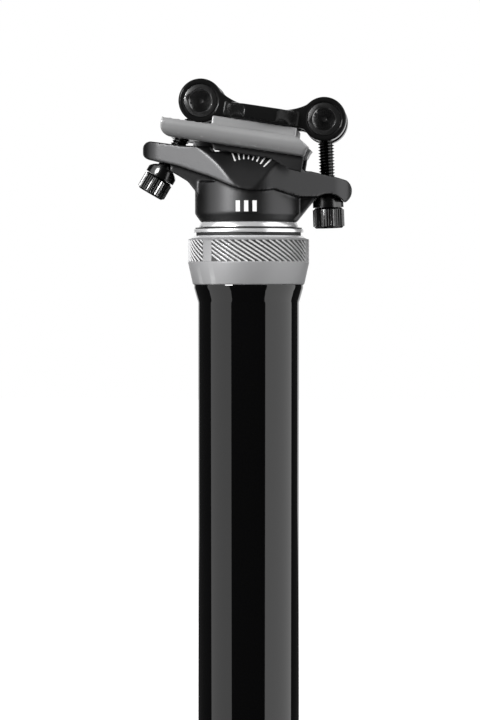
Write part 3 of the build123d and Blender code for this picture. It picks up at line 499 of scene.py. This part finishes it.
# ---------------------------------------------------------------- inner tube
# Hard anodised tube that shows when the post is raised, ground and polished to a dark sheen.
dark_tube = finish("dark_hard_anodised", (0.018, 0.018, 0.02), (0.1, 0.1, 0.1), 0.16, 0.35, patch=25,
                   lines=0.08, rough_spread=0.04)
inner_low, inner_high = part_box("inner_tube")
inner = turned("inner_tube_shell", [(12.0, inner_low.z / mm), (13.5, inner_low.z / mm),
                                    (13.5, inner_high.z / mm), (12.0, inner_high.z / mm)], 0.15,
               segments=192)
dress(inner, dark_tube, "upper_post", "dark_anodised", "inner_tube")

# ---------------------------------------------------------------- head
# Forged and blasted aluminium, black anodised. Forging leaves every edge rounded, so the CAD shape
# is copied, remeshed and smoothed until its edges are soft. A low spine runs along the rear arm.


def soft_copy(node, name, voxel, rounds):
    """Copy of a CAD node with its edges rounded, as forging and blasting leave them."""
    piece = bpy.data.objects.new(name, frame["nodes"][node].data.copy())
    bpy.context.scene.collection.objects.link(piece)
    edit(piece)
    bpy.ops.mesh.select_all(action="SELECT")
    bpy.ops.mesh.remove_doubles(threshold=1e-6)
    bpy.ops.object.mode_set(mode="OBJECT")
    modify(piece, "REMESH", mode="VOXEL", voxel_size=voxel * mm)
    modify(piece, "SMOOTH", factor=0.5, iterations=rounds)
    bpy.ops.object.shade_smooth()
    return piece


blasted = finish("blasted_black_anodised", (0.062, 0.062, 0.063), (0.15, 0.15, 0.15), 0.4, 1.0, patch=70,
                 grain=2600, bump=0.3, wear=0.25, spread=0.12, wear_from=0.56)
head = soft_copy("head", "head_forging", 0.34, 5)
bpy.ops.object.select_all(action="DESELECT")
bpy.ops.mesh.primitive_cube_add(size=1, location=(-14.2 * mm, 0, 49.5 * mm),
                                scale=(6.0 * mm, 9.0 * mm, 2.6 * mm))
spine = bpy.context.object
bpy.ops.object.transform_apply(location=True, rotation=True, scale=True)
soften(spine, 0.5 * mm)
join([head, spine])
dress(head, blasted, "upper_post", "blasted_black", "head")

# ---------------------------------------------------------------- angle marks
# Eight lines etched on each side of the head, fanned about the rocker's axis, and three plain bars
# on the neck below. Each is a thin strip laid on the surface.
white_mark = finish("etched_white", (0.8, 0.8, 0.8), (0.8, 0.8, 0.8), 0.5, 0.0, patch=300, bump=0.1)
rocker = Vector(joint["clamp_tilt"]["pos_m"])
mark_count, mark_first, mark_step = 8, -22.0, 9.6
mark_inner, mark_outer, mark_width = 8.1, 11.4, 0.42
bar_width, bar_length, bar_height, bar_step = 1.3, 3.4, 30.3, 2.6


def strip(width, length, turn, centre, side, target):
    """Thin strip that lies on the target's side, turned clockwise from upright by turn."""
    bpy.ops.object.select_all(action="DESELECT")
    bpy.ops.mesh.primitive_plane_add(size=1)
    mark = bpy.context.object
    edit(mark)
    bpy.ops.mesh.subdivide(number_cuts=7)
    bpy.ops.object.mode_set(mode="OBJECT")
    mark.scale = (width * mm, length * mm, 1)
    bpy.ops.object.transform_apply(location=False, rotation=False, scale=True)
    mark.rotation_euler = (pi / 2, turn, 0)
    mark.location = (centre[0], side * 0.04, centre[1])
    bpy.ops.object.transform_apply(location=True, rotation=True, scale=True)
    modify(mark, "SHRINKWRAP", target=target, wrap_method="PROJECT", use_project_x=False,
           use_project_y=True, use_project_z=False, use_negative_direction=True,
           use_positive_direction=True, project_limit=0.038, offset=0.00003)
    modify(mark, "SOLIDIFY", thickness=0.00006, offset=0)
    return mark


marks = []
for side in (-1, 1):
    for step in range(mark_count):
        lean = radians(mark_first + step * mark_step)
        reach = (mark_inner + mark_outer) / 2 * mm
        centre = (rocker.x + sin(lean) * reach, rocker.z + cos(lean) * reach)
        marks.append(strip(mark_width, mark_outer - mark_inner, lean, centre, side, head))
    for place in (-1, 0, 1):
        centre = (place * bar_step * mm, bar_height * mm)
        marks.append(strip(bar_width, bar_length, 0, centre, side, head))
angle_marks = join(marks)
angle_marks.name = "angle_marks"
dress(angle_marks, white_mark, "upper_post", "blasted_black")

# ---------------------------------------------------------------- lower cradle
# Machined cradle, grey anodised, with a groove for each saddle rail. Tumbling has rounded its edges.
# Its skirts, below the rail channels, are given the head's black as painted shade, where the rail channels shade
# them.
rail_slope = radians(8.6)
channel_bottom = 11.3
cradle_grey = finish("grey_anodised_cradle", (0.36, 0.36, 0.363), (0.75, 0.75, 0.75), 0.38, 0.4,
                     patch=55, grain=1600, bump=0.12, wear=0.3, spread=0.12, wear_from=0.6)
cradle = soft_copy("lower_cradle", "rail_cradle_body", 0.36, 4)
dress(cradle, cradle_grey, "rail_cradle", "grey_cradle", "lower_cradle")
rail_up = Vector((sin(rail_slope), 0, cos(rail_slope)))
# Painted shade: cradle faces below the channel bottom take the head's black material.
recolour(cradle, blasted, lambda centre: (centre - rocker) @ rail_up < channel_bottom * mm)

# ---------------------------------------------------------------- upper clamps
# Two forged links, gloss black, with an eye at each end and a jaw that grips the rail. They are
# smoothed further than the head, so that the jaw runs softly into the eyes.
clamp_black = finish("gloss_black_clamp", (0.006, 0.006, 0.006), (0.1, 0.1, 0.1), 0.17, 0.0, patch=60,
                     grain=1500, bump=0.06, wear=0.15, ior=1.2, wear_from=0.57)
for side in ("left", "right"):
    clamp = soft_copy(f"upper_clamp_{side}", f"clamp_link_{side}", 0.32, 26)
    dress(clamp, clamp_black, "rail_cradle", "gloss_black_clamp", f"upper_clamp_{side}")

# ---------------------------------------------------------------- barrel nuts and washers
# The washers are black oxide steel. The nuts are the same black steel, coloured lighter as a painted highlight so
# that their coned ends glint where they show in the eyes.


def crisp_copy(node, name, edge):
    """Copy of a CAD node with small bevels on its edges."""
    piece = bpy.data.objects.new(name, frame["nodes"][node].data.copy())
    bpy.context.scene.collection.objects.link(piece)
    edit(piece)
    bpy.ops.mesh.select_all(action="SELECT")
    bpy.ops.mesh.remove_doubles(threshold=1e-6)
    bpy.ops.mesh.dissolve_limited(angle_limit=radians(0.5))
    bpy.ops.object.mode_set(mode="OBJECT")
    soften(piece, edge * mm)
    return piece


black_steel = finish("black_oxide_steel", (0.07, 0.07, 0.07), (0.3, 0.3, 0.3), 0.22, 1.0, patch=120,
                     grain=2500, bump=0.06, wear=0.3)
# Painted highlight: a lighter copy of the black oxide steel, used for the nuts.
nut_highlight_paint = finish("black_steel_nut_painted_highlight", (0.25, 0.25, 0.25), (0.6, 0.6, 0.6), 0.2, 1.0, patch=120,
                      grain=2500, bump=0.06, wear=0.4)
for end in ("rear", "front"):
    nut = crisp_copy(f"{end}_barrel_nut", f"{end}_barrel", 0.15)
    dress(nut, nut_highlight_paint, f"{end}_barrel", "black_steel", f"{end}_barrel_nut")
    disc = crisp_copy(f"{end}_washer", f"{end}_rounded_washer", 0.12)
    dress(disc, black_steel, f"{end}_swivel", "black_steel", f"{end}_washer")

# ---------------------------------------------------------------- bolts
# M5 socket cap bolts, black. The head is knurled all round, the socket opens downwards and the
# thread is a ridge screwed round the core. Each is built upright, then leaned along its joint.
# A radius of one pole closes the turned outline on the axis, where its ring merges to a point.
thread_pitch = 0.95
core_radius = 1.95
shank_radius = 2.5
plain_length = 4.5
ridge_radius = 0.6
socket_radius, socket_depth = 2.35, 3.4
knurl_count, tooth_radius = 32, 0.3
head_round = 0.5
pole = 0.0003
shoulder = 1.9
for end, head_radius, head_height, length in (("rear", 4.65, 5.8, 33.75), ("front", 4.85, 6.4, 33.7)):
    spin = joint[f"{end}_bolt_spin"]
    foot = shoulder - head_height
    face = head_radius - 0.25
    bolt = turned(f"{end}_cap_bolt", [
        (pole, foot + socket_depth), (socket_radius, foot + socket_depth),
        (socket_radius, foot + 0.3), (socket_radius + 0.25, foot), (face - head_round, foot),
        (face, foot + head_round), (face, shoulder - head_round), (face - head_round, shoulder),
        (shank_radius, shoulder), (shank_radius, shoulder + plain_length),
        (core_radius, shoulder + plain_length + 0.4), (core_radius, length - 0.5),
        (core_radius - 0.4, length), (pole, length)], 0.08, segments=96)
    bits = [bolt]
    for tooth in range(knurl_count):
        bpy.ops.object.select_all(action="DESELECT")
        turn = tooth * 2 * pi / knurl_count
        bpy.ops.mesh.primitive_cylinder_add(
            vertices=4, radius=tooth_radius * mm, depth=(head_height - 1.2) * mm, rotation=(0, 0, turn),
            location=(cos(turn) * face * mm, sin(turn) * face * mm, (foot + head_height / 2) * mm))
        bits.append(bpy.context.object)
    bpy.ops.object.select_all(action="DESELECT")
    bpy.ops.mesh.primitive_cylinder_add(vertices=6, radius=2.34 * mm, depth=3.0 * mm,
                                        end_fill_type="NOTHING",
                                        location=(0, 0, (foot + 1.8) * mm))
    bits.append(bpy.context.object)
    bpy.ops.object.select_all(action="DESELECT")
    bpy.ops.mesh.primitive_circle_add(vertices=3, radius=ridge_radius * mm,
                                      rotation=(pi / 2, pi / 2, 0),
                                      location=(core_radius * mm, 0, (shoulder + 5.2) * mm))
    ridge = bpy.context.object
    bpy.ops.object.transform_apply(location=True, rotation=True, scale=True)
    turns = int((length - shoulder - 6.0) / thread_pitch)
    modify(ridge, "SCREW", axis="Z", angle=2 * pi, screw_offset=thread_pitch * mm, iterations=turns,
           steps=32, render_steps=32, use_merge_vertices=False, use_smooth_shade=False)
    bits.append(ridge)
    join(bits)
    bolt.rotation_euler = (0, Vector((0, 1)).angle_signed(Vector(spin["axis"]).xz), 0)
    bolt.location = spin["pos_m"]
    bpy.ops.object.transform_apply(location=True, rotation=True, scale=True)
    dress(bolt, black_steel, f"{end}_screw", "black_steel", f"{end}_bolt")

# ---------------------------------------------------------------- base and cable lever
# Black anodised housing screwed into the tube's foot, with a plain alloy lever on a steel pin.
satin_black = finish("satin_black_anodised", (0.02, 0.02, 0.021), (0.3, 0.3, 0.3), 0.3, 0.4, patch=60,
                     grain=1800, bump=0.12, wear=0.3)
base = crisp_copy("base_housing", "base_housing_body", 0.2)
dress(base, satin_black, "lower_post", "black_housing", "base_housing")
plain_alloy = finish("turned_alloy", (0.55, 0.55, 0.56), (0.8, 0.8, 0.8), 0.3, 1.0, patch=60, lines=0.2,
                     spread=0.08)
plain_steel = finish("turned_steel", (0.5, 0.5, 0.5), (0.8, 0.8, 0.8), 0.25, 1.0, patch=80, lines=0.2,
                     spread=0.08)
brass = finish("turned_brass", (0.75, 0.55, 0.22), (0.9, 0.75, 0.4), 0.25, 1.0, patch=80, lines=0.2,
               spread=0.08)
polymer = finish("bushing_polymer", (0.09, 0.09, 0.09), (0.2, 0.2, 0.2), 0.5, 0.0, patch=90, grain=2000,
                 bump=0.15)
kept = {"plain_alloy": plain_alloy, "plain_steel": plain_steel, "ground_steel": plain_steel,
        "key_brass": brass, "bushing_polymer": polymer, "black_rubber": rubber,
        "black_steel": black_steel}
for part in frame["record"]["subparts"]:
    node = frame["nodes"][part["node"]]
    if node.hide_render or part["material_slot"] not in kept:
        continue
    node.data.materials.clear()
    node.data.materials.append(kept[part["material_slot"]])
